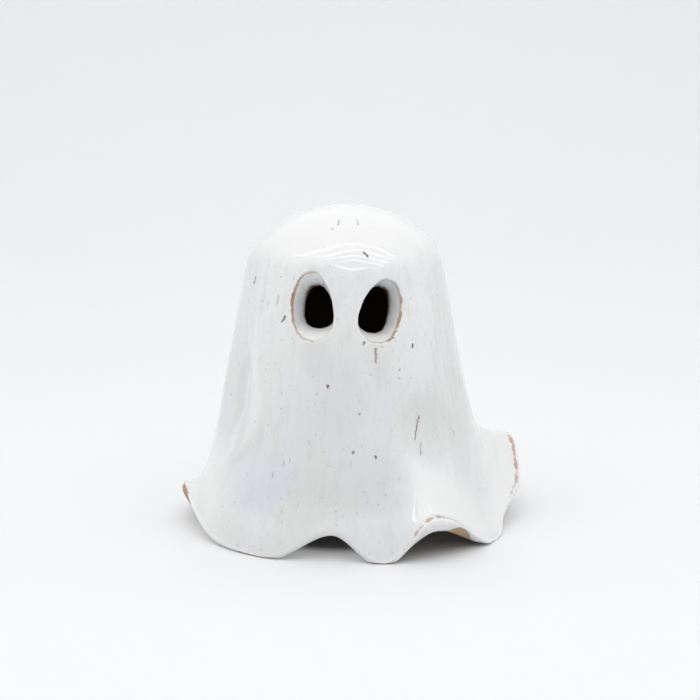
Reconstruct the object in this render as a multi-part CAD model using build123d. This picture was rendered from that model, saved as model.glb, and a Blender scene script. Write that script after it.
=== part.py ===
"""Hollow stoneware sheet ghost: a thrown bell with a ruffled hem, two eye holes and a white glaze."""
from build123d import *
import os
from typing import NamedTuple
import numpy as np

# Glazed outside in millimetres, measured up from the table: a round top on a gently widening wall
HEIGHT = 89.0
DOME_DEPTH = 16.0
TOP_RADIUS = 23.7
WALL_LEAN = 0.202
SKIRT_TOP = 42.0

# Whole thickness of the wall up high and at the hem, and the share of it that is glaze
WALL = 6.5
HEM_WALL = 4.2
GLAZE = 0.6

# How far the hem's rounded end bulges, and the strip above the table that is wiped free of glaze
LIP_BULGE = 1.6
BARE_FOOT = 1.0

# The eyes' own glaze, and the bare line between it and the glaze of the coat
EYE_GLAZE = 0.5
BARE_RIM = 0.6

# The eye holes are eggs, narrower at the top, and a little squarer than an oval
EYE_EGG = 0.17
EYE_SQUARE = 0.88

# How far a cutting form runs past the surface that it cuts
OVERRUN = 2.5

# Fineness of the lofted sheet
RING_POINTS = 120
DOME_RINGS = 7
WALL_RINGS = 3
SKIRT_RINGS = 12
LIP_RINGS = 7
EYE_RINGS = 5
EYE_POINTS = 48
AROUND = np.linspace(0, 360, RING_POINTS, endpoint=False)


class Fold(NamedTuple):
    """One place of the wavy hem, drawn in the upright half plane at its azimuth.

    azimuth: degrees round from the front, positive towards +X
    reach, lift: radius of the outer hem edge, and its height above the table
    flare: lean of the sheet at the hem, degrees out from straight down
    face: slope of the hem's end face, degrees from level
    straight, curl: how far the sheet keeps to the wall above, and to the flare below
    """
    azimuth: float
    reach: float
    lift: float
    flare: float
    face: float
    straight: float
    curl: float


# The hem once round from the tip at the left: the table cuts the lobes off flat
FOLDS = [
    Fold(-82, 45.2, 11.2, 80, 70, 28, 6),
    Fold(-68, 44.2, 7.2, 52, 38, 25, 8),
    Fold(-50, 44.8, 2.5, 34, 14, 24, 9),
    Fold(-30, 44.6, 0.7, 26, 0, 23, 9),
    Fold(-4.5, 41.9, 9.0, 24, 15, 20, 9),
    Fold(13, 45.0, 0.7, 32, 0, 22, 10),
    Fold(30, 46.8, 12.0, 75, 72, 27, 8),
    Fold(60, 47.2, 0.4, 58, 0, 31, 11),
    Fold(74, 45.1, 5.0, 62, 30, 29, 9),
    Fold(92, 48.6, 12.5, 76, 66, 24, 7),
    Fold(107, 48.8, 20.5, 84, 80, 21, 6),
    Fold(140, 46.2, 0.7, 40, 0, 27, 9),
    Fold(163, 45.3, 9.5, 60, 55, 26, 7),
    Fold(188, 44.7, 0.7, 32, 0, 24, 9),
    Fold(213, 45.3, 11.0, 70, 65, 26, 7),
    Fold(243, 44.7, 0.7, 40, 0, 26, 9),
]


class Tuck(NamedTuple):
    """A soft upright valley where the sheet is drawn in, by depth at its middle."""
    azimuth: float
    half_width: float
    depth: float


TUCKS = [
    Tuck(-105, 14, 1.0),
    Tuck(-67, 17, 2.2),
    Tuck(62, 15, 1.2),
    Tuck(128, 16, 1.6),
    Tuck(228, 18, 1.8),
]
TUCK_TOP = 66.0


class Eye(NamedTuple):
    """A funnel cut square to the wall, from a wide mouth to a smaller throat.

    mouth, throat: width and height of the hole at the glazed outside and at the inside
    shift: how far the throat's middle lies to the side and up from the mouth's
    lean: turn of the hole in its own plane, degrees, with its top going towards +X
    """
    node: str
    azimuth: float
    height: float
    mouth: tuple
    throat: tuple
    shift: tuple
    lean: float


EYES = [
    Eye("left_eye_glaze", -17.8, 65.5, (11.8, 19.9), (10.2, 13.2), (-0.2, -0.1), -9.0),
    Eye("right_eye_glaze", 20.1, 64.0, (11.4, 18.2), (10.6, 14.4), (-0.1, 0.7), 22.5),
]


def eased(field):
    """A fold's field all round: a cubic leads from fold to fold, level at every crest and hollow."""
    ring = FOLDS[-1:] + FOLDS + FOLDS[:2]
    place = np.array([fold.azimuth for fold in ring]) + 360.0 * np.repeat([-1, 0, 1], [1, len(FOLDS), 2])
    value = np.array([getattr(fold, field) for fold in ring])
    width = np.diff(place)
    rate = np.diff(value) / width
    same_way = rate[:-1] * rate[1:] > 0
    mean = 2 * rate[:-1] * rate[1:] / np.where(same_way, rate[:-1] + rate[1:], 1)
    slope = np.where(same_way, mean, 0)
    angle = (AROUND - place[1]) % 360 + place[1]
    k = np.clip(np.searchsorted(place, angle, side="right") - 1, 1, len(FOLDS))
    s = (angle - place[k]) / width[k]
    ends = (1 + 2 * s) * (1 - s) ** 2 * value[k] + s ** 2 * (3 - 2 * s) * value[k + 1]
    return ends + width[k] * s * (1 - s) * ((1 - s) * slope[k - 1] - s * slope[k])


def tucked(z):
    """How far the wall is drawn in all round at a height: a bell across each tuck, fading upwards."""
    depth = np.zeros(RING_POINTS)
    for tuck in TUCKS:
        off = np.abs((AROUND - tuck.azimuth + 180) % 360 - 180)
        depth += tuck.depth * np.cos(np.clip(off / tuck.half_width, 0, 1) * np.pi / 2) ** 2
    fade = np.clip((TUCK_TOP - z) / (TUCK_TOP - SKIRT_TOP), 0, 1)
    return depth * fade ** 2 * (3 - 2 * fade)


def wall_radius(drop, inset):
    """Radius of the dome and wall at a drop from the top of a skin that lies inset under the outside."""
    rise = np.clip(1 - drop / (DOME_DEPTH - inset), 0, 1)
    return (TOP_RADIUS - inset + WALL_LEAN * drop) * np.sqrt(1 - rise ** 2)


def upper_ring(drop, inset):
    """Radii and heights all round at a drop from the top of a skin, above the skirt."""
    z = HEIGHT - inset - drop
    return wall_radius(drop, inset) - tucked(z), np.full(RING_POINTS, z)


def skirt_ring(u, wall_inset, hem_inset):
    """Radii and heights all round at a share u of the skirt, a cubic curve from wall to hem edge."""
    flare = np.radians(eased("flare"))
    face = np.radians(eased("face"))
    straight = eased("straight")
    curl = eased("curl")
    top = wall_radius(HEIGHT - wall_inset - SKIRT_TOP, wall_inset) - tucked(SKIRT_TOP)
    edge = eased("reach") - hem_inset * np.cos(face)
    edge_z = eased("lift") - hem_inset * np.sin(face)
    radii = (top, top + WALL_LEAN * straight, edge - curl * np.sin(flare), edge)
    heights = (SKIRT_TOP, SKIRT_TOP - straight, edge_z + curl * np.cos(flare), edge_z)
    weights = ((1 - u) ** 3, 3 * u * (1 - u) ** 2, 3 * u ** 2 * (1 - u), u ** 3)
    r = sum(weight * radius for weight, radius in zip(weights, radii))
    z = sum(weight * height for weight, height in zip(weights, heights))
    return r, z


def lip_ring(turn):
    """A line round the clay's end at the hem: half an oval from the outer side (0) to the inner side (pi)."""
    flare = np.radians(eased("flare"))
    half = (HEM_WALL - GLAZE) / 2
    r, z = skirt_ring(1.0, WALL, GLAZE + half - half * np.cos(turn))
    bulge = LIP_BULGE * np.sin(turn)
    return r + bulge * np.sin(flare), z - bulge * np.cos(flare)


def lip():
    """Rings round the clay's end, without the two edges that it shares with the skins."""
    return [lip_ring(turn) for turn in np.linspace(0, np.pi, LIP_RINGS + 2)[1:-1]]


def skin(wall_inset, hem_inset):
    """Rings of one skin of the sheet, from the top down to the hem edge."""
    deep = DOME_DEPTH - wall_inset
    dome_angles = np.linspace(0, np.pi / 2, DOME_RINGS + 1)[1:]
    rings = [upper_ring(deep * (1 - np.cos(angle)), wall_inset) for angle in dome_angles]
    wall_drops = np.linspace(deep, HEIGHT - wall_inset - SKIRT_TOP, WALL_RINGS + 2)[1:-1]
    rings += [upper_ring(drop, wall_inset) for drop in wall_drops]
    rings += [skirt_ring(u, wall_inset, hem_inset) for u in np.linspace(0, 1, SKIRT_RINGS + 1)]
    return rings


def ring_points(ring):
    """Points of one ring, as an array of X, Y and Z columns."""
    r, z = ring
    turn = np.radians(AROUND)
    return np.stack([r * np.sin(turn), -r * np.cos(turn), z], axis=1)


def ring_wire(ring):
    """A closed smooth line through one ring, with its knots at even turns."""
    points = [Vector(*point) for point in ring_points(ring)]
    knots = [i / RING_POINTS for i in range(RING_POINTS + 1)]
    return Wire([Edge.make_spline(points, periodic=True, parameters=knots)])


def closed_sheet(outer, band, inner, outer_top, inner_top):
    """One solid wall: a skin down the outside, a band round the hem and a skin up the inside."""
    outer_wires = [ring_wire(ring) for ring in outer]
    inner_wires = [ring_wire(ring) for ring in inner]
    band_wires = [outer_wires[-1], *[ring_wire(ring) for ring in band], inner_wires[-1]]
    faces = Shell.make_loft([Vertex(0, 0, outer_top), *outer_wires]).faces()
    faces += Shell.make_loft(band_wires).faces()
    faces += Shell.make_loft([Vertex(0, 0, inner_top), *inner_wires]).faces()
    return Solid(Shell(faces))


def clay_sheet():
    """The thrown and ruffled clay before its foot is trimmed and its eyes are cut."""
    return closed_sheet(skin(GLAZE, GLAZE), lip(), skin(WALL, HEM_WALL), HEIGHT - GLAZE, HEIGHT - WALL)


def glaze_sheet():
    """The glazed outside, with an inner side that is buried in the clay until the clay is taken away."""
    buried = (GLAZE + HEM_WALL) / 2
    return closed_sheet(skin(0, 0), [], skin(buried, buried), HEIGHT, HEIGHT - buried)


def eye_plane(eye):
    """A plane square to the glazed wall at the middle of an eye, with its local Y up the wall."""
    radius = wall_radius(HEIGHT - eye.height, 0)
    turn = np.radians(eye.azimuth)
    out = Vector(np.sin(turn), -np.cos(turn), WALL_LEAN)
    sideways = Vector(np.cos(turn), np.sin(turn), 0)
    middle = Vector(radius * np.sin(turn), -radius * np.cos(turn), eye.height)
    upright = Plane(origin=middle, x_dir=sideways, z_dir=out)
    return Plane(upright.location * Rot(0, 0, -eye.lean))


def eye_wire(eye, depth, grow):
    """The eye hole's outline at a depth under the wall, grown all round."""
    flare = max(0, 1 - depth / WALL) ** 2
    half = [(narrow + (wide - narrow) * flare) / 2 + grow for wide, narrow in zip(eye.mouth, eye.throat)]
    turn = np.linspace(0, 2 * np.pi, EYE_POINTS, endpoint=False)
    across = np.sign(np.cos(turn)) * np.abs(np.cos(turn)) ** EYE_SQUARE
    along = np.sign(np.sin(turn)) * np.abs(np.sin(turn)) ** EYE_SQUARE
    x = half[0] * across * (1 - EYE_EGG * along * (1 - flare / 2)) + eye.shift[0] * (1 - flare)
    y = half[1] * along + eye.shift[1] * (1 - flare)
    points = [Vector(*point) for point in zip(x, y)]
    knots = [i / EYE_POINTS for i in range(EYE_POINTS + 1)]
    outline = Wire([Edge.make_spline(points, periodic=True, parameters=knots)])
    return eye_plane(eye).offset(-depth) * outline


def funnel(eye, grow):
    """The space of an eye hole, grown all round: it flares at the mouth and is straight at the throat."""
    depths = [*np.linspace(-OVERRUN, WALL, EYE_RINGS), WALL + 2 * OVERRUN]
    return Solid.make_loft([eye_wire(eye, depth, grow) for depth in depths])


def below(level):
    """A block that holds everything under a level."""
    wide = 4 * max(fold.reach for fold in FOLDS)
    return Pos(0, 0, level) * Box(wide, wide, HEIGHT, align=(Align.CENTER, Align.CENTER, Align.MAX))


def plan_middle():
    """Middle of the figure's outline seen from above, which the origin lies under."""
    rim = np.concatenate([ring_points(ring) for ring in [skin(0, 0)[-1], *lip()]])
    middle = (rim.min(axis=0) + rim.max(axis=0)) / 2
    return Vector(middle[0], middle[1], 0)


# Clay: the sheet stands on its trimmed lobes, and both eyes go right through the wall
sheet = clay_sheet()
wall = sheet - below(0)
stoneware_body = wall
for eye in EYES:
    stoneware_body -= funnel(eye, 0)

# Glaze: one coat over the outside, held back from the foot and from the rims of the eyes
white_glaze_coat = glaze_sheet() - sheet - below(BARE_FOOT)
for eye in EYES:
    white_glaze_coat -= funnel(eye, BARE_RIM)

# Glaze that pooled inside each eye hole, from the outer rim to the inner one
parts = {"stoneware_body": stoneware_body, "white_glaze_coat": white_glaze_coat}
for eye in EYES:
    parts[eye.node] = (funnel(eye, 0) - funnel(eye, -EYE_GLAZE)) & wall

os.makedirs("parts", exist_ok=True)
middle = plan_middle()
for node, shape in parts.items():
    export_step(Pos(-middle) * shape, f"parts/{node}.step")
print("figure's axis from the origin:", -middle)
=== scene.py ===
# %% [markdown]
# # A stoneware sheet ghost
# The figure is one hollow pot: a bell of tan clay, ruffled by hand along its hem, pierced by two eyes
# and dipped in a white gloss glaze. This lesson dresses the construction model: it loads the packed
# solids as a fixed frame, makes a finer skin for every solid from the same formulas, and gives clay
# and glaze their own finishes.

# %% Load the frame
import bpy
import numpy as np
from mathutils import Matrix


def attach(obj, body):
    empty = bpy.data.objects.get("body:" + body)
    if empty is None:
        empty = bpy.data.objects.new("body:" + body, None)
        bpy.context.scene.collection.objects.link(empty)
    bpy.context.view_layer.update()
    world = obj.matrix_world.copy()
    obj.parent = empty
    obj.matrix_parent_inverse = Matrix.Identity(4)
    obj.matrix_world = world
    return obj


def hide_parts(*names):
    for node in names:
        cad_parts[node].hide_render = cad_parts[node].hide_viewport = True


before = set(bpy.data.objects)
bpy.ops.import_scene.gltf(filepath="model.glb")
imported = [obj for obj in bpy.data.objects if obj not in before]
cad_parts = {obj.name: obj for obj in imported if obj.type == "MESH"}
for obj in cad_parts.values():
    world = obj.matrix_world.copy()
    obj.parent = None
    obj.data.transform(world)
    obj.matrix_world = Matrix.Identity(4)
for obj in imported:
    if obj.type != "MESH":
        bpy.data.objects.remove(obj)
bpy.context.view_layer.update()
print("solids:", sorted(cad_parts))

# %% [markdown]
# ## The sizes of the sheet
# A potter would describe this ghost by a few sizes: how tall, how round the top, how the wall widens
# and how thick it is. They repeat the construction's driving sizes, in millimetres. The hem is told
# fold by fold, once round from the left, because that is how it was pinched. Azimuths are in degrees:
# nought is the front, and they grow towards the right.
#
# A fold tells how far out its edge reaches and how high it is lifted, how far the edge flares from
# upright and which way its outer face points, how long the skirt follows the wall and then the flare,
# how many degrees the glaze wraps round the edge, and how far the skirt swells out above the edge.
# A tuck draws the wall in: azimuth, half width and depth.

# %% Sizes in millimetres and degrees
HEIGHT = 89.0
DOME_DEPTH = 16.0
TOP_RADIUS = 23.7
WALL_LEAN = 0.202
SKIRT_TOP = 42.0
WALL = 6.5
HEM_WALL = 4.2
GLAZE = 0.6
LIP_BULGE = 1.6
LIP_SQUARE = 0.75
BARE_FOOT = 0.35
EYE_GLAZE = 0.5
MM = 0.001

FOLD_FIELDS = ("azimuth", "reach", "lift", "flare", "face", "straight", "curl", "wrap", "swell")
FOLDS = np.array([
    (-82, 45.2, 11.2, 80, 70, 28, 6, 5, 0.0),
    (-68, 44.2, 7.2, 52, 38, 25, 8, 60, 2.0),
    (-50, 44.8, 2.5, 34, 14, 24, 9, 90, 1.2),
    (-30, 44.6, 0.7, 26, 0, 23, 9, 100, 0.5),
    (-4.5, 41.9, 9.0, 24, 15, 20, 9, 90, 0.3),
    (13, 45.0, 0.7, 32, 0, 22, 10, 110, 0.6),
    (30, 46.8, 12.0, 75, 72, 27, 8, 150, 3.2),
    (60, 47.2, 0.4, 58, 0, 31, 11, 100, 2.8),
    (74, 45.1, 5.0, 62, 30, 29, 9, 110, 0.8),
    (92, 48.6, 12.5, 76, 66, 24, 7, 120, 0.0),
    (107, 48.8, 20.5, 84, 80, 21, 6, 120, 0.0),
    (140, 46.2, 0.7, 40, 0, 27, 9, 90, 0.5),
    (163, 45.3, 9.5, 60, 55, 26, 7, 90, 2.0),
    (188, 44.7, 0.7, 32, 0, 24, 9, 90, 0.5),
    (213, 45.3, 11.0, 70, 65, 26, 7, 90, 2.0),
    (243, 44.7, 0.7, 40, 0, 26, 9, 80, 0.5),
])
TUCKS = [(-105, 14, 1.0), (-67, 17, 2.2), (62, 15, 1.2), (128, 16, 1.6), (228, 18, 1.8)]
TUCK_TOP = 66.0
print("folds round the hem:", len(FOLDS), "tucks in the wall:", len(TUCKS))

# %% [markdown]
# ## One formula for every skin
# The clay's outside, its inside and the glaze are all the same sheet, each lying a little further in.
# So one function gives any point of any skin: it takes the azimuth round the figure, a running number
# down it, and how far in the skin lies. Modelling the skins by hand would let them drift apart, and
# the thin glaze would soon poke through the clay.

# %% Fields that change round the figure
def eased(azimuth, field):
    """A fold's value at any azimuth: a cubic leads from fold to fold, level at every crest and hollow.

    Elsewhere its slope at a fold is the harmonic mean of the rates of change on both sides.
    """
    ring = np.concatenate([FOLDS[-1:], FOLDS, FOLDS[:2]])
    place = ring[:, 0] + 360.0 * np.repeat([-1, 0, 1], [1, len(FOLDS), 2])
    value = ring[:, FOLD_FIELDS.index(field)]
    width = np.diff(place)
    rate = np.diff(value) / width
    same_way = rate[:-1] * rate[1:] > 0
    mean = 2 * rate[:-1] * rate[1:] / np.where(same_way, rate[:-1] + rate[1:], 1)
    slope = np.where(same_way, mean, 0)
    angle = (azimuth - place[1]) % 360 + place[1]
    fold = np.clip(np.searchsorted(place, angle, side="right") - 1, 1, len(FOLDS))
    share = (angle - place[fold]) / width[fold]
    left = 1 - share
    ends = (1 + 2 * share) * left ** 2 * value[fold] + share ** 2 * (3 - 2 * share) * value[fold + 1]
    return ends + width[fold] * share * left * (left * slope[fold - 1] - share * slope[fold])


def tucked(azimuth, z):
    """How far the wall is drawn in: a squared cosine across each tuck, fading out upwards."""
    depth = 0 * azimuth
    for place, half_width, deep in TUCKS:
        off = np.abs((azimuth - place + 180) % 360 - 180)
        depth = depth + deep * np.cos(np.clip(off / half_width, 0, 1) * np.pi / 2) ** 2
    fade = np.clip((TUCK_TOP - z) / (TUCK_TOP - SKIRT_TOP), 0, 1)
    return depth * fade ** 2 * (3 - 2 * fade)


def bell(x, middle, width):
    """A soft hump: a Gaussian of x."""
    return np.exp(-((x - middle) / width) ** 2)


WAVES = [(0.16, 2, 0.05, 0.8), (0.10, 5, -0.09, 2.1), (0.06, 9, 0.21, 0.0)]
RIDGE_AZIMUTH = -43
RIDGE_HALF_WIDTH = 4.5
RIDGE_MIDDLE = 38
RIDGE_HALF_HEIGHT = 17
RIDGE_OUT = 1.2
RIDGE_BEND = 37
SWELLS = [
    (-64, 9, 40, 13, -1.4),
    (-12, 35, 14, 6, -1.1),
    (40, 14, 31, 9, -2.3),
    (-14, 13, 77.5, 2.5, 0.35),
    (4, 9, 76, 2.5, -0.3),
]


def hand_wobble(azimuth, z):
    """The unevenness of a hand-made wall, in millimetres: waves, a ridge at the left, swells and hollows.

    A wave is its size times a sine: of a count times the azimuth, a climb times the height and a phase.
    The ridge's crest bends to the left above and below RIDGE_BEND, by powers of the distance. A swell is
    a bell in azimuth times a bell in height: azimuth, half width, height, half height, and how far out.
    """
    turn = np.radians(azimuth)
    around = (azimuth + 180) % 360 - 180
    waves = sum(size * np.sin(count * turn + climb * z + phase) for size, count, climb, phase in WAVES)
    above = np.clip(z - RIDGE_BEND, 0, 30)
    below = np.clip(RIDGE_BEND - z, 0, 20)
    crest = RIDGE_AZIMUTH - 0.07 * above ** 1.75 - 0.016 * below ** 2.5
    ridge = RIDGE_OUT * bell(around, crest, RIDGE_HALF_WIDTH) * bell(z, RIDGE_MIDDLE, RIDGE_HALF_HEIGHT)
    swells = 0 * z
    for place, half_width, height, half_height, out in SWELLS:
        swells = swells + out * bell(around, place, half_width) * bell(z, height, half_height)
    return waves + ridge + swells


print("hem edge at the front:", round(float(eased(np.array(0.0), "lift")), 2), "mm above the table")

# %% The sheet
SWELL_SCALE = 27 / 4


def skirt_curve(azimuth, u, wall_inset, hem_inset):
    """Radius and height at a share u of the skirt.

    A cubic curve leaves down the wall and ends along the flare. The swell widens it by u squared times
    (1 - u), which SWELL_SCALE brings to one at its peak.
    """
    flare = np.radians(eased(azimuth, "flare"))
    face = np.radians(eased(azimuth, "face"))
    straight = eased(azimuth, "straight")
    curl = eased(azimuth, "curl")
    top = TOP_RADIUS - wall_inset + WALL_LEAN * (HEIGHT - wall_inset - SKIRT_TOP)
    top = top - tucked(azimuth, SKIRT_TOP)
    edge = eased(azimuth, "reach") - hem_inset * np.cos(face)
    edge_z = eased(azimuth, "lift") - hem_inset * np.sin(face)
    weights = ((1 - u) ** 3, 3 * u * (1 - u) ** 2, 3 * u ** 2 * (1 - u), u ** 3)
    radii = (top, top + WALL_LEAN * straight, edge - curl * np.sin(flare), edge)
    heights = (SKIRT_TOP, SKIRT_TOP - straight, edge_z + curl * np.cos(flare), edge_z)
    r = sum(weight * radius for weight, radius in zip(weights, radii))
    z = sum(weight * height for weight, height in zip(weights, heights))
    return r + eased(azimuth, "swell") * SWELL_SCALE * u ** 2 * (1 - u), z


def around_axis(azimuth, r, z):
    """Points from azimuth, radius and height, with the front at -Y and azimuth growing towards +X."""
    turn = np.radians(azimuth)
    return np.stack(np.broadcast_arrays(r * np.sin(turn), -r * np.cos(turn), z), axis=-1)


def sheet(azimuth, t, wall_inset, hem_inset):
    """A point of one skin: t runs 0 to 1 down the round top, to 2 down the wall and to 3 down the skirt.

    The round top is half an oval, so its radius is the wall's times the root of 1 less the rise squared.
    """
    azimuth, t = np.broadcast_arrays(np.asarray(azimuth, float), np.asarray(t, float))
    deep = DOME_DEPTH - wall_inset
    tall = HEIGHT - wall_inset - SKIRT_TOP
    drop = deep * (1 - np.cos(np.clip(t, 0, 1) * np.pi / 2)) + (tall - deep) * np.clip(t - 1, 0, 1)
    rise = np.clip(1 - drop / deep, 0, 1)
    z = HEIGHT - wall_inset - drop
    r = (TOP_RADIUS - wall_inset + WALL_LEAN * drop) * np.sqrt(1 - rise ** 2) - tucked(azimuth, z)
    skirt_r, skirt_z = skirt_curve(azimuth, np.clip(t - 2, 0, 1), wall_inset, hem_inset)
    start_r, start_z = skirt_curve(azimuth, 0 * t, wall_inset, hem_inset)
    r = r + skirt_r - start_r
    z = z + skirt_z - start_z
    r = r + hand_wobble(azimuth, z) * np.clip(r / TOP_RADIUS, 0, 1)
    return around_axis(azimuth, r, z)


def lip(azimuth, turn, extra):
    """A point of the hem's rounded end: half an oval from the outer side (turn 0) to the inner (turn pi).

    LIP_SQUARE is the power of sine and cosine, which squares it off. The extra thickens it all round.
    """
    azimuth, turn = np.broadcast_arrays(np.asarray(azimuth, float), np.asarray(turn, float))
    flare = np.radians(eased(azimuth, "flare"))
    middle = (GLAZE + HEM_WALL) / 2
    half = (HEM_WALL - GLAZE) / 2
    across = np.sign(np.cos(turn)) * np.abs(np.cos(turn)) ** LIP_SQUARE
    r, z = skirt_curve(azimuth, 1 + 0 * turn, WALL, middle - (half + extra) * across)
    bulge = (LIP_BULGE + extra) * np.abs(np.sin(turn)) ** LIP_SQUARE
    r = r + bulge * np.sin(flare) + hand_wobble(azimuth, z)
    return around_axis(azimuth, r, z - bulge * np.cos(flare))


COLUMNS = 320
AROUND = np.arange(COLUMNS) * 360 / COLUMNS
HALF_TURN = np.linspace(0, np.pi, 15)[:, None]
# The frame's origin lies under the middle of the figure's box, and the sheet's axis stands beside it.
AXIS = np.array([-1.736, -0.466, 0])
hem_points = lip(AROUND, HALF_TURN, 0).reshape(-1, 3) + AXIS
print("hem from", hem_points.min(axis=0).round(1), "to", hem_points.max(axis=0).round(1), "mm")

# %% [markdown]
# ## The eyes
# Each eye was cut through the soft wall with a tapered tool, square to the surface: a wide oval mouth
# that narrows to a smaller throat. The funnel is a formula too. To meet it, a skin needs the point that
# lies straight behind a place in the eye's own plane, which a few steps of correction find.

# %% Eye planes and funnels
EYE_EGG = 0.17
EYE_SQUARE = 0.88
FAR_AWAY = 99.0


class Eye:
    """One eye hole: its place, how wide its mouth and throat are, and the plane square to the wall there.

    The shift moves the throat within the plane, the lean turns the oval in degrees, and the two columns
    are those of the grid that its window lies between.
    """

    def __init__(self, node, azimuth, height, mouth, throat, shift, lean, columns):
        self.node = node
        self.shift = np.array(shift)
        self.mouth = np.array(mouth)
        self.throat = np.array(throat)
        self.columns = columns
        turn = np.radians(azimuth)
        tilt = np.radians(lean)
        radius = TOP_RADIUS + WALL_LEAN * (HEIGHT - height)
        self.middle = np.array([radius * np.sin(turn), -radius * np.cos(turn), height])
        out = np.array([np.sin(turn), -np.cos(turn), WALL_LEAN])
        self.out = out / np.linalg.norm(out)
        side = np.array([np.cos(turn), np.sin(turn), 0])
        up = np.cross(self.out, side)
        self.side = np.cos(tilt) * side - np.sin(tilt) * up
        self.up = np.sin(tilt) * side + np.cos(tilt) * up

    def local(self, points):
        """Places in the eye's plane, sideways and up, and the depth under it."""
        away = points - self.middle
        return np.stack([away @ self.side, away @ self.up], axis=-1), -(away @ self.out)

    def oval(self, angle, depth, grow=0.0):
        """Places on the funnel's ring at a depth: it flares as the square of what is left of the wall.

        EYE_SQUARE squares off the oval, EYE_EGG narrows its upper half, and small waves make it uneven.
        """
        flare = np.clip(1 - depth / WALL, 0, None)[..., None] ** 2
        half = (self.throat + (self.mouth - self.throat) * flare) / 2 + grow
        ring = np.stack([np.cos(angle), np.sin(angle)], axis=-1)
        ring = np.sign(ring) * np.abs(ring) ** EYE_SQUARE
        egg = EYE_EGG * ring[..., 1:] * (1 - flare / 2) * (1, 0)
        cut = 1 + 0.010 * np.sin(3 * angle + self.middle[0])
        cut = cut + 0.006 * np.sin(7 * angle) + 0.005 * np.sin(15 * angle)
        return half * ring * (1 - egg) * cut[..., None] + self.shift * (1 - flare)

    def at(self, place, depth):
        """Points in space from places in the plane and a depth."""
        across = place[..., :1] * self.side
        upward = place[..., 1:] * self.up
        return self.middle + across + upward - depth[..., None] * self.out

    def on_skin(self, place, inset):
        """Points of a skin straight behind places in the plane, by repeated correction of a guess."""
        guess = place
        for _ in range(5):
            spot = self.at(guess, 0 * guess[..., 0])
            azimuth = np.degrees(np.arctan2(spot[..., 0], -spot[..., 1]))
            drop = HEIGHT - inset - spot[..., 2]
            deep = DOME_DEPTH - inset
            in_dome = np.arccos(np.clip(1 - drop / deep, 0, 1)) / (np.pi / 2)
            in_wall = 1 + (drop - deep) / (HEIGHT - inset - SKIRT_TOP - deep)
            points = sheet(azimuth, np.where(drop < deep, in_dome, in_wall), inset, inset)
            found, _depth = self.local(points)
            guess = guess + place - found
        return points

    def rim(self, angle, inset, grow=0.0):
        """Where the funnel meets a skin: place, depth and points all round."""
        depth = np.full_like(angle, inset)
        for _ in range(6):
            points = self.on_skin(self.oval(angle, depth, grow), inset)
            place, depth = self.local(points)
        return place, depth, points

    def distance(self, points):
        """Rough distance of points outside the mouth's egg shape, and very far behind the wall."""
        place, depth = self.local(points)
        length = np.linalg.norm(place, axis=-1)
        ratio = np.linalg.norm(place / (self.mouth / 2), axis=-1)
        return np.where(depth < 2 * WALL, length * (1 - 1 / np.maximum(ratio, 1e-6)), FAR_AWAY)


EYES = [
    Eye("left_eye_glaze", -17.8, 65.5, (11.8, 19.9), (10.2, 13.2), (-0.2, -0.1), -9.0, (-32, -1)),
    Eye("right_eye_glaze", 20.1, 64.0, (11.4, 18.2), (10.6, 14.4), (-0.1, 0.7), 22.5, (1, 37)),
]
for eye in EYES:
    place, depth, points = eye.rim(np.linspace(0, 2 * np.pi, 90), 0.0)
    print(eye.node, "mouth", np.ptp(place, axis=0).round(1), "mm, deepest", depth.max().round(2), "mm")

# %% [markdown]
# ## From rows to a closed mesh
# A piece is one long grid: rows run down the outside, round the hem and up the inside, and each end
# closes on a point at the top. Where an eye is, a window of the grid is left out, and a sleeve of rings
# leads from the outer window through the hole to the inner one. A boolean cut would be quicker to write,
# but its ragged edges show in a gloss reflection, while these rings follow the rim.

# %% Rows and windows
DOME_ROWS = 24
WALL_ROWS = 48
SKIRT_ROWS = 56
DOWN = np.concatenate([
    np.linspace(0, 1, DOME_ROWS + 1)[1:],
    1 + np.linspace(0, 1, WALL_ROWS + 1)[1:],
    2 + np.linspace(0, 1, SKIRT_ROWS + 1)[1:],
])
FIRST_ROW, LAST_ROW = 18, 58


def window_loop(eye):
    """Row and column numbers once round an eye's window, anticlockwise seen from outside."""
    left, right = eye.columns
    rows = np.arange(FIRST_ROW, LAST_ROW + 1)
    columns = np.arange(left, right + 1)
    same_row = 0 * columns[:-1]
    same_column = 0 * rows[:-1]
    row = np.concatenate([same_row + LAST_ROW, rows[:0:-1], same_row + FIRST_ROW, rows[:-1]])
    column = np.concatenate([columns[:-1], same_column + right, columns[:0:-1], same_column + left])
    return row, column % COLUMNS


def skin_rows(wall_inset, hem_inset):
    """All rows of one skin, as rows by columns by XYZ."""
    return sheet(AROUND[None, :], DOWN[:, None], wall_inset, hem_inset)


def mesh_piece(name, points, quads, triangles, **values):
    """A smooth mesh object in metres, with one number per vertex for each named value."""
    mesh = bpy.data.meshes.new(name)
    standing = (points + AXIS) * MM
    mesh.from_pydata(standing.tolist(), [], quads.tolist() + triangles.tolist())
    mesh.polygons.foreach_set("use_smooth", np.ones(len(mesh.polygons), bool))
    for key, numbers in values.items():
        layer = mesh.attributes.new(key, "FLOAT", "POINT")
        layer.data.foreach_set("value", np.asarray(numbers, np.float32))
    mesh.validate()
    piece = bpy.data.objects.new(name, mesh)
    bpy.context.scene.collection.objects.link(piece)
    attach(piece, "root")
    return piece


def quads_between(near, far):
    """Faces between the point numbers of rings and of the rings that follow them."""
    return np.stack([near, np.roll(near, -1, 1), np.roll(far, -1, 1), far], axis=-1).reshape(-1, 4)


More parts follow.
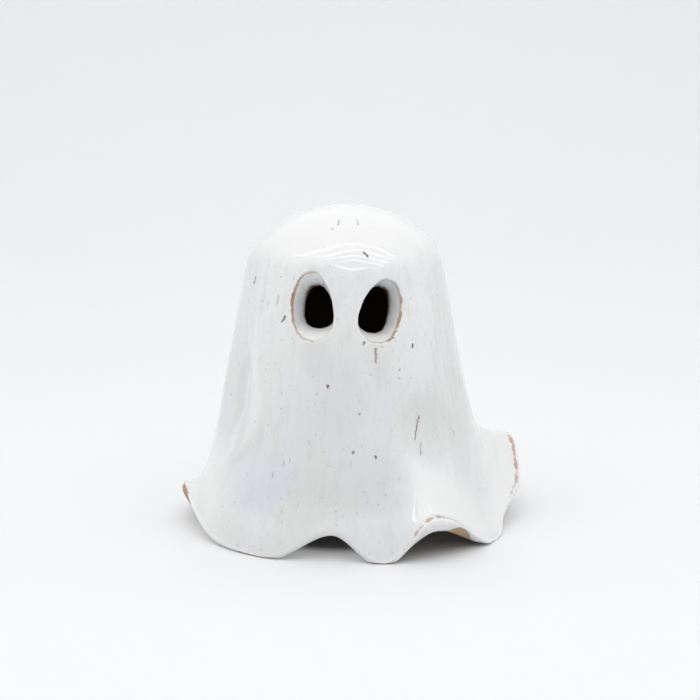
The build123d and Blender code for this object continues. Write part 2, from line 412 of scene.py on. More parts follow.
def closed_grid(rows, tops, sleeves):
    """Points and faces of a closed piece: rows from top to top, and a sleeve through each window."""
    count = len(rows)
    number = np.arange(count * COLUMNS).reshape(count, COLUMNS)
    points = [rows.reshape(-1, 3)]
    keep = np.ones((count - 1, COLUMNS), bool)
    faces = []
    used = count * COLUMNS
    for eye, rings in zip(EYES, sleeves):
        left, right = eye.columns
        gap = np.arange(left, right) % COLUMNS
        keep[FIRST_ROW:LAST_ROW, gap] = False
        keep[count - 1 - LAST_ROW:count - 1 - FIRST_ROW, gap] = False
        row, column = window_loop(eye)
        middle = used + np.arange(rings[..., 0].size).reshape(rings.shape[:2])
        outer_edge = number[row, column][None]
        inner_edge = number[count - 1 - row, column][None]
        ring_number = np.concatenate([outer_edge, middle, inner_edge])
        faces.append(quads_between(ring_number[:-1], ring_number[1:]))
        points.append(rings.reshape(-1, 3))
        used += middle.size
    upper, lower = number[:-1], number[1:]
    grid = np.stack([upper, lower, np.roll(lower, -1, 1), np.roll(upper, -1, 1)], axis=-1)
    faces.append(grid[keep])
    points.append(np.array(tops))
    first, last = number[0], number[-1]
    caps = np.concatenate([
        np.stack([0 * first + used, first, np.roll(first, -1)], axis=-1),
        np.stack([0 * last + used + 1, np.roll(last, -1), last], axis=-1),
    ])
    return np.concatenate(points), np.concatenate(faces), caps


print("window round each eye:", [len(window_loop(eye)[0]) for eye in EYES], "points")

# %% Bends between two skins
BEND_RINGS = 6


def bend(start, corner, end):
    """Rings of a rounded corner: a quadratic curve from start to end that heads for the corner."""
    w = np.linspace(0, 1, BEND_RINGS)[:, None, None]
    return (1 - w) ** 2 * start + 2 * w * (1 - w) * corner + w ** 2 * end


def spread(eye, window, rim_place, inset, shares):
    """Rings of a skin from the window's edge towards the rim, at shares of the way."""
    edge, _depth = eye.local(window)
    share = np.asarray(shares)[:, None, None]
    return eye.on_skin(edge + (rim_place - edge) * share, inset)


# %% [markdown]
# ## The clay
# The clay's sheet goes all the way: outside under the glaze, round the blunt end of the hem and up the
# inside, with the table cutting its lobes flat. Its eye holes have softened rims, as a damp sponge
# leaves them.

# %% Clay body
TUNNEL_RINGS = 10
RIM_ROUND = 0.3
APPROACH = np.linspace(0, 1, 14)[1:]


def angles_of(eye, window):
    """The funnel's angle that faces each point of the window's edge."""
    place, _depth = eye.local(window)
    return np.arctan2(place[:, 1] / eye.mouth[1], place[:, 0] / eye.mouth[0])


def clay_sleeve(eye, outer, inner):
    """Rings from the outer window, over the rim, through the funnel and out over the inner rim."""
    row, column = window_loop(eye)
    window, back = outer[row, column], inner[row, column]
    angle = angles_of(eye, window)
    rim_place, rim_depth, rim_points = eye.rim(angle, GLAZE)
    throat_place, throat_depth, throat_points = eye.rim(angle, WALL)
    outward = rim_place / np.linalg.norm(rim_place, axis=-1, keepdims=True)
    before = rim_place + outward * RIM_ROUND
    behind = throat_place + outward * RIM_ROUND
    mouth_end = eye.at(eye.oval(angle, rim_depth + RIM_ROUND), rim_depth + RIM_ROUND)
    throat_end = eye.at(eye.oval(angle, throat_depth - RIM_ROUND), throat_depth - RIM_ROUND)
    share = np.linspace(0, 1, TUNNEL_RINGS)[1:-1, None]
    depth = rim_depth + RIM_ROUND + (throat_depth - rim_depth - 2 * RIM_ROUND) * share
    tunnel = eye.at(eye.oval(np.broadcast_to(angle, depth.shape), depth), depth)
    return np.concatenate([
        spread(eye, window, before, GLAZE, APPROACH[:-1]),
        bend(eye.on_skin(before, GLAZE), rim_points, mouth_end),
        tunnel,
        bend(throat_end, throat_points, eye.on_skin(behind, WALL)),
        spread(eye, back, behind, WALL, APPROACH[-2::-1]),
    ])


clay_outer = skin_rows(GLAZE, GLAZE)
clay_inner = skin_rows(WALL, HEM_WALL)
clay_lip = lip(AROUND, HALF_TURN[1:-1], 0)
clay_rows = np.concatenate([clay_outer, clay_lip, clay_inner[::-1]])
clay_rows[..., 2] = np.maximum(clay_rows[..., 2], 0)
clay_sleeves = [clay_sleeve(eye, clay_outer, clay_inner) for eye in EYES]
clay_points, clay_quads, clay_caps = closed_grid(
    clay_rows, [(0, 0, HEIGHT - GLAZE), (0, 0, HEIGHT - WALL)], clay_sleeves)

# %% How far inside each point of the clay lies
lip_share = HALF_TURN[1:-1, 0] / np.pi
row_share = np.concatenate([np.zeros(len(clay_outer)), lip_share, np.ones(len(clay_inner))])
sleeve_share = [np.linspace(0, 1, len(rings)).repeat(rings.shape[1]) for rings in clay_sleeves]
clay_inside = np.concatenate([row_share.repeat(COLUMNS), *sleeve_share, [0, 1]])
clay_rim = np.abs(np.minimum(*[eye.distance(clay_points) for eye in EYES]))
clay_piece = mesh_piece(
    "clay_body", clay_points, clay_quads, clay_caps, inside=clay_inside, eye_rim=clay_rim)
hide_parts("stoneware_body")
print("clay faces:", len(clay_quads) + len(clay_caps))

# %% [markdown]
# ## The glaze coat
# Glaze is glass that flowed. It is an even skin over the outside that ends in soft rounded edges: just
# above the table, where the potter wiped the foot, along the hem's edge, and over the rims of the eyes,
# where it thins on the sharp edge and breaks to a brown line. Its back is sunk a little into the clay, so
# that no gap can show.

# %% Where the coat ends
UNEVEN_WRAP = [(9, 7, 1), (6, 16, 0), (4, 29, 2)]
RUBBED_AZIMUTH = 41
RUBBED_HALF_WIDTH = 5
RUBBED_OFF = 75
LEAST_WRAP = 8
MOST_WRAP = 170
LEAST_CLEAR = 0.1


def coat_ends():
    """How far round the hem the glaze wraps in each column, in radians.

    The fold's own wrap is made uneven by sine waves (size in degrees, count, phase) and rubbed off in one
    place. The wrap is then shortened to the share of it that stays clear of the table.
    """
    turn = np.radians(AROUND)
    uneven = sum(size * np.sin(count * turn + phase) for size, count, phase in UNEVEN_WRAP)
    rubbed = RUBBED_OFF * bell(AROUND, RUBBED_AZIMUTH, RUBBED_HALF_WIDTH)
    wish = np.radians(np.clip(eased(AROUND, "wrap") + uneven - rubbed, LEAST_WRAP, MOST_WRAP))
    turns = np.linspace(0, 1, 60)[:, None] * wish
    touching = lip(AROUND, turns, GLAZE)[..., 2] < BARE_FOOT
    clear = np.cumsum(touching, axis=0) == 0
    return wish * np.clip(clear.mean(axis=0), LEAST_CLEAR, 1)


COAT_SINK = 0.08
COAT_LOWEST = 0.05
EDGE_ROUND = 0.7
RIM_LAP = 0.05
WRAP_ROWS = 12
ends = coat_ends()
coat_outer = skin_rows(0, 0)
coat_inner = skin_rows(GLAZE + COAT_SINK, GLAZE + COAT_SINK)
wrap = np.linspace(0, 1, WRAP_ROWS + 1)[1:, None]
coat_wrap = lip(AROUND, wrap * ends, GLAZE * np.sqrt(1 - wrap ** 4))
coat_under = lip(AROUND, wrap[::-1] * ends, -COAT_SINK)


def coat_sleeve(eye, outer, inner):
    """Rings from the window to the coat's rounded edge round an eye, and back along its buried side."""
    row, column = window_loop(eye)
    window, back = outer[row, column], inner[row, column]
    angle = angles_of(eye, window)
    buried = GLAZE + COAT_SINK
    edge_place, _depth, edge_points = eye.rim(angle, buried, -RIM_LAP)
    outward = edge_place / np.linalg.norm(edge_place, axis=-1, keepdims=True)
    before = edge_place + outward * EDGE_ROUND
    return np.concatenate([
        spread(eye, window, before, 0, APPROACH[:-1]),
        bend(eye.on_skin(before, 0), eye.on_skin(edge_place, 0), edge_points),
        spread(eye, back, edge_place, buried, APPROACH[-2::-1]),
    ])


coat_rows = np.concatenate([coat_outer, coat_wrap, coat_under, coat_inner[::-1]])
coat_rows[..., 2] = np.maximum(coat_rows[..., 2], COAT_LOWEST)
coat_sleeves = [coat_sleeve(eye, coat_outer, coat_inner) for eye in EYES]
coat_points, coat_quads, coat_caps = closed_grid(
    coat_rows, [(0, 0, HEIGHT), (0, 0, HEIGHT - GLAZE - COAT_SINK)], coat_sleeves)

# %% [markdown]
# ## Where the coat is thin, worn and lit
# A fired glaze shows its thickness: brown where an edge thins it. Painted light whitens it on the ledges
# of the flared folds. So every point of the coat keeps a few measures that the finish reads later: how
# near an eye rim or the coat's own edge it is, whether the hem is worn or forms a lit ledge there, and
# how far the wall swells.

# %% Measures that colour the coat
EDGE_RING = len(APPROACH) - 1 + BEND_RINGS // 2
RIM_LINE = 0.5
RIM_SPECKS = 2.2
WEAR_EVERYWHERE = 0.2
WEAR = [(0.9, 30, 13), (0.8, 97, 14), (0.5, 278, 8)]


def away_from_nose(eye, angle):
    """How worn the rim is round an eye: most on its outer side, least between the eyes."""
    return 0.55 + 0.45 * np.sign(eye.middle[0]) * np.cos(angle)


def thin_rim(eye, rings, width):
    """How thin the coat lies on the rings round an eye: a bell across the edge, along the glaze."""
    row, column = window_loop(eye)
    angle = angles_of(eye, coat_outer[row, column])
    steps = np.linalg.norm(np.diff(rings, axis=0), axis=-1)
    run = np.concatenate([0 * steps[:1], np.cumsum(steps, axis=0)])
    return bell(run, run[EDGE_RING], width) * away_from_nose(eye, angle)


def round_eyes(width):
    """The thinning of the coat within a width of the eye rims, for every point of the coat."""
    rims = [thin_rim(eye, rings, width).ravel() for eye, rings in zip(EYES, coat_sleeves)]
    return np.concatenate([np.zeros(coat_rows[..., 0].size), *rims, [0, 0]])


# Lengths run down each column of the coat: from the coat's edge, and from where the hem's end starts.
steps = np.linalg.norm(np.diff(coat_rows, axis=0), axis=-1)
run = np.concatenate([np.zeros((1, COLUMNS)), np.cumsum(steps, axis=0)])
to_edge = np.abs(run - run[len(coat_outer) + WRAP_ROWS - 1])
from_hem = run - run[len(coat_outer) - 1]
# The hem's outer edge is worn, most at the folds in WEAR: strength, azimuth, half width.
sharpness = sum((strong * bell(AROUND, place, wide) for strong, place, wide in WEAR), WEAR_EVERYWHERE)
worn = bell(from_hem, 0.5, 0.7) * sharpness
# The three flared folds are ledges above the hem that face up; painted light whitens the glaze on them.
flared = bell((AROUND + 180) % 360 - 180, -69, 15) + bell(AROUND, 42, 19) + bell(AROUND, 96, 22)
ledge = bell(from_hem, -9, 13) * np.clip(1.4 * flared, 0, 1)
coat_azimuth = np.degrees(np.arctan2(coat_points[:, 0], -coat_points[:, 1]))
round_the_eyes = len(coat_points) - run.size
coat_piece = mesh_piece(
    "glaze_coat", coat_points, coat_quads, coat_caps,
    eye_rim=round_eyes(RIM_LINE),
    eye_near=round_eyes(RIM_SPECKS),
    to_edge=np.append(to_edge.ravel(), np.full(round_the_eyes, FAR_AWAY)),
    worn=np.append(worn.ravel(), np.zeros(round_the_eyes)),
    ledge=np.append(ledge.ravel(), np.zeros(round_the_eyes)),
    swollen=hand_wobble(coat_azimuth, coat_points[:, 2]))
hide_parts("white_glaze_coat")
print("coat faces:", len(coat_quads) + len(coat_caps))

# %% [markdown]
# ## The glaze in the eyes
# The dip also ran through the holes and lines them: a thin collar from just inside the rim to the throat.
# It is a closed ring, so it is a grid that wraps both ways.

# %% Eye linings
LINING_POINTS = 160
LINING_RINGS = 26
LINING_START = 0.05
LINING_SHORT = 0.2


def lining(eye):
    """A collar in the funnel: down its glazed face, round its inner edge and back up against the clay.

    One turn goes once round the collar's section. It is thin at the rim, and its back is a little buried.
    """
    angle = np.arange(LINING_POINTS) * 2 * np.pi / LINING_POINTS
    _place, rim_depth, _points = eye.rim(angle, GLAZE)
    _place, throat_depth, _points = eye.rim(angle, WALL)
    turn = np.linspace(0, 2 * np.pi, 2 * LINING_RINGS, endpoint=False)[:, None]
    along = np.clip((1 - np.cos(turn)) / 2, 0, 1)
    thick = EYE_GLAZE * np.clip(np.sin(turn) * 3, -0.15, 0.2 + 2 * along)
    depth = rim_depth + LINING_START + (throat_depth - rim_depth - LINING_SHORT) * along
    place = eye.oval(np.broadcast_to(angle, depth.shape), depth)
    inward = place / np.linalg.norm(place, axis=-1, keepdims=True)
    points = eye.at(place - inward * thick[..., None], depth)
    number = np.arange(points[..., 0].size).reshape(points.shape[:2])
    quads = quads_between(number, np.roll(number, -1, 0))
    upward = np.broadcast_to(np.sin(angle), depth.shape)
    worn = np.broadcast_to(away_from_nose(eye, angle), depth.shape)
    values = {"inward": along.repeat(LINING_POINTS, axis=1), "upward": upward, "worn": worn}
    return points.reshape(-1, 3), quads, {name: numbers.ravel() for name, numbers in values.items()}


lining_pieces = []
for eye in EYES:
    points, quads, values = lining(eye)
    no_caps = np.zeros((0, 3), int)
    piece = mesh_piece(eye.node.replace("glaze", "lining"), points, quads, no_caps, **values)
    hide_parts(eye.node)
    lining_pieces.append(piece)
    print(piece.name, "faces:", len(quads))

# %% [markdown]
# ## Shader sums
# Finishes are easier to read as sums than as node diagrams. A small class wraps one socket of a shader
# tree: adding or multiplying two of them puts a Math node in the tree, and one method adds any other
# node.

# %% A small language for shader maths
class Shade:
    """One output socket of a shader tree, with ordinary arithmetic."""

    def __init__(self, tree, socket=None):
        self.tree = tree
        self.socket = socket

    def add_node(self, kind, settings, inputs, out=0):
        """Any node: its settings first, then its inputs, each a plain value or another socket."""
        node = self.tree.nodes.new(kind)
        for key, value in settings.items():
            setattr(node, key, value)
        for key, value in inputs.items():
            if isinstance(value, Shade):
                self.tree.links.new(value.socket, node.inputs[key])
            else:
                node.inputs[key].default_value = value
        return Shade(self.tree, node.outputs[out])

    def math(self, operation, first, second=0.0, clamp=False):
        settings = {"operation": operation, "use_clamp": clamp}
        return self.add_node("ShaderNodeMath", settings, {0: first, 1: second})

    def __add__(self, other):
        return self.math("ADD", self, other)

    def __radd__(self, other):
        return self.math("ADD", other, self)

    def __sub__(self, other):
        return self.math("SUBTRACT", self, other)

    def __rsub__(self, other):
        return self.math("SUBTRACT", other, self)

    def __mul__(self, other):
        return self.math("MULTIPLY", self, other)

    def __rmul__(self, other):
        return self.math("MULTIPLY", other, self)

    def larger(self, other):
        return self.math("MAXIMUM", self, other)

    def absolute(self):
        return self.math("ABSOLUTE", self)

    def clamped(self):
        """Nought below nought, and one above one."""
        return self.math("ADD", self, 0.0, clamp=True)

    def ramp(self, low, high):
        """Nought below low, one above high, with a soft step between."""
        limits = {"Value": self, "From Min": low, "From Max": high}
        return self.add_node("ShaderNodeMapRange", {"interpolation_type": "SMOOTHSTEP"}, limits)

    def blend(self, first, second):
        """A colour between two, with this socket as the share of the second."""
        return self.add_node("ShaderNodeMix", {"data_type": "RGBA"}, {0: self, 6: first, 7: second}, 2)

    def other(self, out):
        """Another output of the node that this socket belongs to."""
        return Shade(self.tree, self.socket.node.outputs[out])

    def vector(self, operation, first, second, out="Vector"):
        settings = {"operation": operation}
        return self.add_node("ShaderNodeVectorMath", settings, {0: first, 1: second}, out)

    def part(self, axis):
        """One coordinate of this place or direction."""
        return self.add_node("ShaderNodeSeparateXYZ", {}, {0: self}, axis)

    def bumps(self, strength, distance):
        """The surface's normal when this height is laid on it, with distance in metres."""
        values = {"Strength": strength, "Distance": distance, "Height": self}
        return self.add_node("ShaderNodeBump", {}, values, "Normal")

    def noise(self, scale, detail=2.0, roughness=0.5):
        """Cloudy noise at this place, with scale in waves per millimetre."""
        values = {"Vector": self, "Scale": scale, "Detail": detail, "Roughness": roughness}
        return self.add_node("ShaderNodeTexNoise", {}, values, "Fac")

    def attribute(self, name):
        """A measure that is stored on the mesh."""
        return self.add_node("ShaderNodeAttribute", {"attribute_name": name}, {}, "Fac")

    def millimetres(self, stretch=1.0):
        """The place on the object in millimetres, with heights shrunk to make marks run downwards."""
        place = self.add_node("ShaderNodeTexCoord", {}, {}, "Object")
        return self.vector("MULTIPLY", place, (1000.0, 1000.0, 1000.0 / stretch))


def new_material(name):
    """An empty material: the material, a start for its sums, and its shader node."""
    material = bpy.data.materials.new(name)
    material.use_nodes = True
    tree = material.node_tree
    return material, Shade(tree), tree.nodes["Principled BSDF"]


def feed(shader, name, value):
    """Link a sum to one of the shader's inputs."""
    value.tree.links.new(value.socket, shader.inputs[name])


print("shader sums ready")

# %% [markdown]
# ## Iron marks
# Stoneware holds grains of iron that melt through the glaze as red-brown specks, and where the glaze
# runs they smear into short streaks. Most are scattered by chance, but the larger ones make this ghost
# recognisable, so they are put where they are. A mark has the azimuth and height of its top, those of its
# bottom, a half width and a strength. A grey veil is broad and upright: azimuth, heights of its top and
# bottom, half width, strength. The two below the eyes are painted shade; the third is a grey patch down
# the middle of the front.

# %% Larger iron marks
MARKS = [
    (-6.2, 86.4, -6.6, 85.4, 0.26, 0.5),
    (14.2, 86.6, 13.4, 85.3, 0.28, 0.3),
    (-10.5, 84.6, -11.3, 84.3, 0.26, 0.5),
    (12.3, 79.2, 14.2, 78.2, 0.42, 0.85),
    (-61.4, 70.7, -61.8, 69.1, 0.36, 0.8),
    (-38.6, 67.2, -39.0, 65.0, 0.30, 0.4),
    (-32.9, 62.2, -34.0, 60.9, 0.44, 0.85),
    (36.4, 54.7, 36.0, 53.9, 0.38, 0.9),
    (-7.8, 45.3, -7.8, 44.9, 0.44, 0.95),
    (27.2, 48.9, 27.2, 48.5, 0.28, 0.5),
    (6.8, 38.2, 6.8, 37.8, 0.32, 0.6),
    (3.5, 28.4, 3.5, 28.0, 0.40, 0.7),
    (12.8, 27.0, 12.8, 26.6, 0.32, 0.95),
    (-30.2, 22.0, -30.2, 20.4, 0.26, 0.3),
    (37.0, 35.5, 33.0, 29.8, 0.32, 0.7),
    (35.8, 28.5, 34.0, 25.7, 0.28, 0.45),
    (15.5, 54.6, 15.2, 51.2, 0.40, 0.6),
    (10.0, 56.4, 9.4, 55.7, 0.34, 0.7),
    (24.5, 57.3, 25.5, 57.0, 0.30, 0.6),
    (-30.0, 68.3, -29.5, 67.5, 0.30, 0.55),
    (-30.4, 66.9, -30.2, 66.4, 0.28, 0.5),
]
# The first two grey patches are painted shade below the eyes; the last is a broad grey patch down the
# middle of the front.
GREY_VEILS = [(-15, 54.5, 51.5, 3.6, 0.30), (17, 52.5, 50.5, 3.4, 0.22), (-3, 46, 38, 6.0, 0.16)]


def spot(azimuth, height):
    """The point of the glazed outside at an azimuth and height, in the frame."""
    t = np.linspace(0, 3, 600)
    column = sheet(azimuth, t, 0, 0)
    return sheet(azimuth, np.interp(-height, -column[:, 2], t), 0, 0) + AXIS


def streak(place, top, bottom, half_width):
    """One where a place lies within half_width of the line from top to bottom, with a soft edge."""
    line = bottom - top
    away = place.vector("SUBTRACT", place, tuple(top))
    along = away.vector("DOT_PRODUCT", away, tuple(line / (line @ line)), "Value").clamped()
    foot = away.add_node("ShaderNodeCombineXYZ", {}, {axis: along * line[axis] for axis in range(3)})
    return 1 - away.vector("DISTANCE", away, foot, "Value").ramp(half_width * 0.5, half_width * 1.5)


print("iron marks placed:", len(MARKS))

# %% [markdown]
# ## White glaze
# The glaze is a bright gloss white that is never quite even. Light and shade are painted into it: the
# top, the ledges and the swells are painted white, and steep walls, most of all lower down, and hollows
# are painted darker as painted shade, paler or cooler patch by patch. On steep walls it also runs in
# faint upright streaks. It breaks to brown wherever a sharp edge thins it. Edges, ledges and swells come
# from the measures stored on the mesh, and the rest is noise in millimetres.

# %% Glaze colours
WHITE = (0.865, 0.865, 0.855, 1)
# The pale and cool tints below are painted shade.
PALE_SHADE = (0.735, 0.745, 0.735, 1)
COOL_SHADE = (0.725, 0.725, 0.765, 1)
GREY = (0.63, 0.635, 0.63, 1)
GRAIN = (0.33, 0.27, 0.24, 1)
BREAK_BROWN = (0.44, 0.30, 0.19, 1)
IRON = (0.13, 0.03, 0.02, 1)


def flecks(place, scale, share, size):
    """Chance grains: a share of the cells hold a soft spot of up to size. Scale counts cells per mm."""
    cells = place.add_node("ShaderNodeTexVoronoi", {}, {"Vector": place, "Scale": scale}, "Distance")
    chance = cells.add_node("ShaderNodeSeparateColor", {}, {0: cells.other("Color")})
    radius = (chance - (1 - share)) * (size * scale / share)
    return ((radius - cells) * (2.5 / (size * scale))).clamped() * chance.other(1)


def glaze_base(start):
    """The glaze away from edges: the place, its colour, and a height for its faint waviness."""
    place = start.millimetres()
    runny = start.millimetres(stretch=6.0)
    up = place.part("Z")
    level = place.add_node("ShaderNodeTexCoord", {}, {}, "Normal").part("Z")
    swollen = start.attribute("swollen")
    # Painted light: upward-facing tops, ledges and swells stay white, while steep walls take the painted
    # shade below.
    steep = 1 - (level + place.noise(0.09, 2.0) * 0.4).ramp(0.50, 0.92)
    steep = steep * (1 - 0.7 * swollen.ramp(0.3, 1.3)) * (1 - start.attribute("ledge"))
    low = 1 - (up + place.noise(0.05, 1.0) * 40).ramp(30.0, 95.0)
    cloud = place.noise(0.045, 2.0).ramp(0.42, 0.60)
    # Painted shade: steep walls darken, more so lower down, and so do hollows, paler or cooler patch by
    # patch.
    painted_shade = steep * (0.35 + 0.65 * low) + (0 - swollen).ramp(0.3, 2.0) * 0.9
    colour = cloud.blend(painted_shade.blend(WHITE, PALE_SHADE), painted_shade.blend(WHITE, COOL_SHADE))
    runs = runny.noise(0.5, 2.0).ramp(0.48, 0.75)
    mottle = place.noise(1.0, 3.0, 0.7).ramp(0.52, 0.78)
    colour = (steep * (runs * 0.35).larger(mottle * 0.45)).blend(colour, GREY)
    soft = flecks(place, 0.55, 0.9, 0.6) * 0.30
    dashes = flecks(start.millimetres(stretch=4.0), 0.5, 0.5, 0.42) * 0.45
    dots = flecks(place, 0.7, 0.4, 0.30) * 0.6
    colour = ((0.25 + 0.75 * steep) * soft.larger(dashes).larger(dots)).blend(colour, GRAIN)
    height = place.noise(0.09, 0.0) + place.noise(0.5, 0.0) * 0.01
    return place, colour, height


def finish_glaze(shader, colour, height, break_and_shade):
    """Gloss, waviness and colour: it is a little duller where the glaze breaks and where shade is
    painted.
    """
    feed(shader, "Base Color", colour)
    feed(shader, "Roughness", 0.07 + break_and_shade * 0.3)
    feed(shader, "Normal", height.bumps(1.0, 0.0002))
    shader.inputs["IOR"].default_value = 1.5


MARK_TRIM = 0.85
MEAN_NOISE = 0.5
material, start, shader = new_material("white_glaze")
place, colour, height = glaze_base(start)
ragged = place.noise(0.8, 4.0) - 0.5
patchy = place.noise(0.25, 2.0).ramp(0.36, 0.62)
rim_line = (start.attribute("eye_rim") * (patchy * 0.6 + 0.6) + ragged * 1.3).ramp(0.3, 0.85)
specks = flecks(place, 1.1, 0.7, 0.36) * start.attribute("eye_near").ramp(0.1, 0.6) * 0.8
rim_line = rim_line.larger(specks)
edge_line = 1 - (start.attribute("to_edge") + ragged).ramp(0.15, 0.8)
wear = (start.attribute("worn") * (patchy * 0.5 + 0.6) + ragged * 0.9).ramp(0.3, 0.7)
break_and_shade = rim_line.larger(edge_line * 0.6).larger(wear * 0.8)
# Painted shade below the eyes, and a grey patch down the middle of the front.
for azimuth, height_top, height_low, half_width, strength in GREY_VEILS:
    veil = streak(place, spot(azimuth, height_top), spot(azimuth, height_low), half_width)
    colour = (strength * veil).blend(colour, GREY)
colour = break_and_shade.blend(colour, BREAK_BROWN)
# Noise bends the marks. It moves every place by MEAN_NOISE on average, so the streaks move with it.
marks = 0.0 * ragged
warped = place.vector("ADD", place, place.add_node(
    "ShaderNodeTexNoise", {}, {"Vector": place, "Scale": 1.5, "Detail": 2.0}, "Color"))
for azimuth, height_top, azimuth_low, height_low, half_width, strength in MARKS:
    count = 2 + int(height_top - height_low) // 2
    azimuths = np.linspace(azimuth, azimuth_low, count)
    heights = np.linspace(height_top, height_low, count)
    path = [spot(*ends) + MEAN_NOISE for ends in zip(azimuths, heights)]
    for top, bottom in zip(path[:-1], path[1:]):
        marks = marks.larger(strength * streak(warped, top, bottom, MARK_TRIM * half_width))
colour = marks.blend(colour, IRON)
finish_glaze(shader, colour, height, break_and_shade)
coat_piece.data.materials.append(material)
print("coat shader nodes:", len(material.node_tree.nodes))

# %% Glaze in the eye holes
# The throat colour is painted shade over the brown of thin glaze.
THROAT_BROWN_SHADE = (0.10, 0.055, 0.032, 1)
material, start, shader = new_material("white_glaze_in_eyes")
place, colour, height = glaze_base(start)
ragged = place.noise(0.9, 3.0) - 0.5
# Painted shade: towards the throat, and sooner on its upper side, the lining darkens to a near-black
# brown over the brown of its thinning glaze.
deep = start.attribute("inward") + ragged * 0.5 + start.attribute("upward") * 0.18
break_and_shade = deep.ramp(0.62, 1.0)
rim = (1 - (start.attribute("inward") + ragged * 0.1).ramp(0.0, 0.05)) * start.attribute("worn")
colour = rim.blend(break_and_shade.blend(colour, THROAT_BROWN_SHADE), BREAK_BROWN)
finish_glaze(shader, colour, height, break_and_shade)
for piece in lining_pieces:
    piece.data.materials.append(material)
print("lining shader nodes:", len(material.node_tree.nodes))

# %% [markdown]
# ## Bare clay
# The clay shows where no glaze is: on the wiped foot, on the end of the tip at the left and inside. It
# is tan and gritty, with iron grains. Inside it is painted near black as painted shade, less so near the
# table, which is why the eyes read as black. A skim of glaze lies on it round the eyes.

# %% Clay colours
CLAY = (0.40, 0.265, 0.165, 1)
CLAY_PALE = (0.50, 0.37, 0.26, 1)
# The inside colour is painted shade.
CLAY_INSIDE_SHADE = (0.05, 0.032, 0.022, 1)
GRIT = (0.12, 0.07, 0.045, 1)

material, start, shader = new_material("stoneware")
place = start.millimetres()
grain = place.noise(1.6, 4.0, 0.65)
colour = grain.ramp(0.35, 0.7).blend(CLAY, CLAY_PALE)
grit = place.add_node("ShaderNodeTexVoronoi", {}, {"Vector": place, "Scale": 0.9}, "Distance")
colour = (1 - grit.ramp(0.10, 0.20)).blend(colour, GRIT)
# Painted shade: the inside is painted near black, half as much near the table.
shade = start.attribute("inside").ramp(0.75, 1.0) * (0.5 + 0.5 * place.part("Z").ramp(4.0, 30.0))
colour = shade.blend(colour, CLAY_INSIDE_SHADE)
near_eyes = 1 - start.attribute("eye_rim").ramp(1.2, 2.0)
skim = near_eyes * place.noise(0.3, 3.0).ramp(0.47, 0.60) * 0.8
colour = skim.blend(colour, WHITE)
feed(shader, "Base Color", colour)
feed(shader, "Roughness", 0.85 - skim * 0.7)
feed(shader, "Normal", grain.bumps(0.5, 0.0003))
clay_piece.data.materials.append(material)
print("clay shader nodes:", len(material.node_tree.nodes))

# %% [markdown]
# ## The studio
# The figure stands on a white paper sweep: a table that curves up into the backdrop half a metre behind.
# The room is softly bright, most of all at both sides, and a row of narrow tubes in front and overhead is
# the main light: it draws the fine lines in the gloss of the forehead. One more lamp is aimed at the
# backdrop. To the camera the paper also glows a little to the left and right of the figure and in its
# front arch, which keeps the shadow light there, as in a product picture, without adding light to the
# figure.

# %% White paper sweep
SWEEP_START = 0.50
SWEEP_RADIUS = 0.22
SWEEP_BACK = SWEEP_START + SWEEP_RADIUS
SWEEP_FRONT = -1.6
SWEEP_TOP = 1.4
HALF_WIDTH = 1.6
PAPER = (0.87, 0.875, 0.885, 1)
PAPER_GLOW = (0.94, 0.95, 0.965, 1)
GLOW_BESIDE = 0.5
GLOW_IN_ARCH = 0.3
angle = np.linspace(0, np.pi / 2, 25)
sweep_y = np.concatenate([[SWEEP_FRONT], SWEEP_START + SWEEP_RADIUS * np.sin(angle), [SWEEP_BACK]])
sweep_z = np.concatenate([[0], SWEEP_RADIUS * (1 - np.cos(angle)), [SWEEP_TOP]])
profile = np.stack([0 * sweep_y, sweep_y, sweep_z], axis=1)
corners = np.concatenate([profile + (-HALF_WIDTH, 0, 0), profile + (HALF_WIDTH, 0, 0)])
first = np.arange(len(profile) - 1)
strips = np.stack([first, first + len(profile), first + len(profile) + 1, first + 1], axis=1)
mesh = bpy.data.meshes.new("paper_sweep")
mesh.from_pydata(corners.tolist(), [], strips.tolist())
mesh.polygons.foreach_set("use_smooth", np.ones(len(strips), bool))
sweep = bpy.data.objects.new("paper_sweep", mesh)
bpy.context.scene.collection.objects.link(sweep)
material, start, shader = new_material("white_paper")
shader.inputs["Base Color"].default_value = PAPER
shader.inputs["Roughness"].default_value = 0.9
shader.inputs["Specular IOR Level"].default_value = 0.1
place = start.millimetres()
side = place.part("X")
back = side.other("Y")
beside = side.absolute().ramp(34.0, 54.0) * (1 - back.absolute().ramp(60.0, 160.0))
from_axis = place.vector("DISTANCE", place, tuple(AXIS), "Value")
in_arch = from_axis.ramp(29.0, 37.0) * (1 - from_axis.ramp(38.0, 54.0))
in_arch = in_arch * (1 - side.ramp(2.0, 14.0)) * (1 - back.ramp(-20.0, 0.0))
seen = start.add_node("ShaderNodeLightPath", {}, {}, "Is Camera Ray")
glow = start.add_node("ShaderNodeEmission", {}, {"Color": PAPER_GLOW})
share = seen * (beside * GLOW_BESIDE + in_arch * GLOW_IN_ARCH)
matt = Shade(material.node_tree, shader.outputs[0])
paper = start.add_node("ShaderNodeMixShader", {}, {0: share, 1: matt, 2: glow})
feed(material.node_tree.nodes["Material Output"], "Surface", paper)
mesh.materials.append(material)

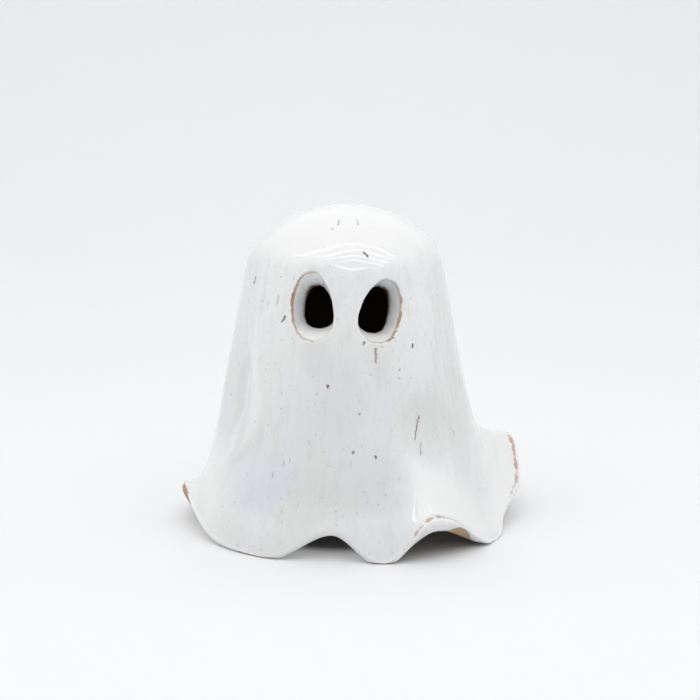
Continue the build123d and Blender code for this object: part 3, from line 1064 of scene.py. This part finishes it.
# %% World and lamps
SKY_LOW = 0.31
SKY_SIDES = 0.85
SKY_TOP = 0.12
SKY = (0.98, 0.99, 1, 1)
TUBES = [(-0.42, 0.42), (-0.34, 0.46), (-0.25, 0.49), (-0.15, 0.51), (-0.05, 0.52)]
TUBE_SIZE = (0.9, 0.016)
TUBE_GLOW = 7.0
BACKDROP_GLOW = 1.4
world = bpy.data.worlds.new("studio")
bpy.context.scene.world = world
world.use_nodes = True
background = world.node_tree.nodes["Background"]
background.inputs["Color"].default_value = SKY
sky = Shade(world.node_tree)
across = sky.add_node("ShaderNodeTexCoord", {}, {}, "Generated").part("X")
overhead = across.other("Z").ramp(0.1, 0.95)
feed(background, "Strength", SKY_LOW + SKY_SIDES * across * across + SKY_TOP * overhead)


def area_lamp(name, size, place, aim, radiance):
    """A rectangular lamp that faces a point; its watts follow from the wanted brightness of its face."""
    data = bpy.data.lights.new(name, "AREA")
    data.shape = "RECTANGLE"
    data.size, data.size_y = size
    data.energy = np.pi * size[0] * size[1] * radiance
    lamp = bpy.data.objects.new(name, data)
    away = np.array(place) - np.array(aim)
    lamp.location = place
    tilt = np.arctan2(np.hypot(away[0], away[1]), away[2])
    lamp.rotation_euler = (tilt, 0, np.arctan2(away[0], -away[1]))
    bpy.context.scene.collection.objects.link(lamp)
    return lamp


for number, (y, z) in enumerate(TUBES):
    area_lamp(f"tube_{number}", TUBE_SIZE, (0.0, y, z), (0, 0, 0.08), TUBE_GLOW)
behind = area_lamp("backdrop", (1.8, 0.3), (0.0, 0.42, 0.75), (0, 0.62, 0.05), BACKDROP_GLOW)
behind.visible_glossy = False
print("lamps:", len(bpy.data.lights))

# %% [markdown]
# ## The camera
# The camera looks down on the figure a little, from half a metre. Its tilt, focal length and target were
# chosen so that the figure's outline falls on the photo's.

# %% Camera
VIEW_DISTANCE = 500.0
VIEW_ELEVATION = 12.0
VIEW_FOCAL_PX = 1786.0
PHOTO_PX = 700
VIEW_TARGET = np.array([1.4, 0.0, 47.96])
camera_data = bpy.data.cameras.new("camera")
camera_data.sensor_width = 36
camera_data.lens = VIEW_FOCAL_PX / PHOTO_PX * camera_data.sensor_width
camera = bpy.data.objects.new("camera", camera_data)
tilt = np.radians(VIEW_ELEVATION)
back = np.array([0, -np.cos(tilt), np.sin(tilt)])
camera.location = ((VIEW_TARGET + AXIS + VIEW_DISTANCE * back) * MM).tolist()
camera.rotation_euler = (np.pi / 2 - tilt, 0, 0)
bpy.context.scene.collection.objects.link(camera)
bpy.context.scene.camera = camera
bpy.context.scene.view_settings.view_transform = "Standard"
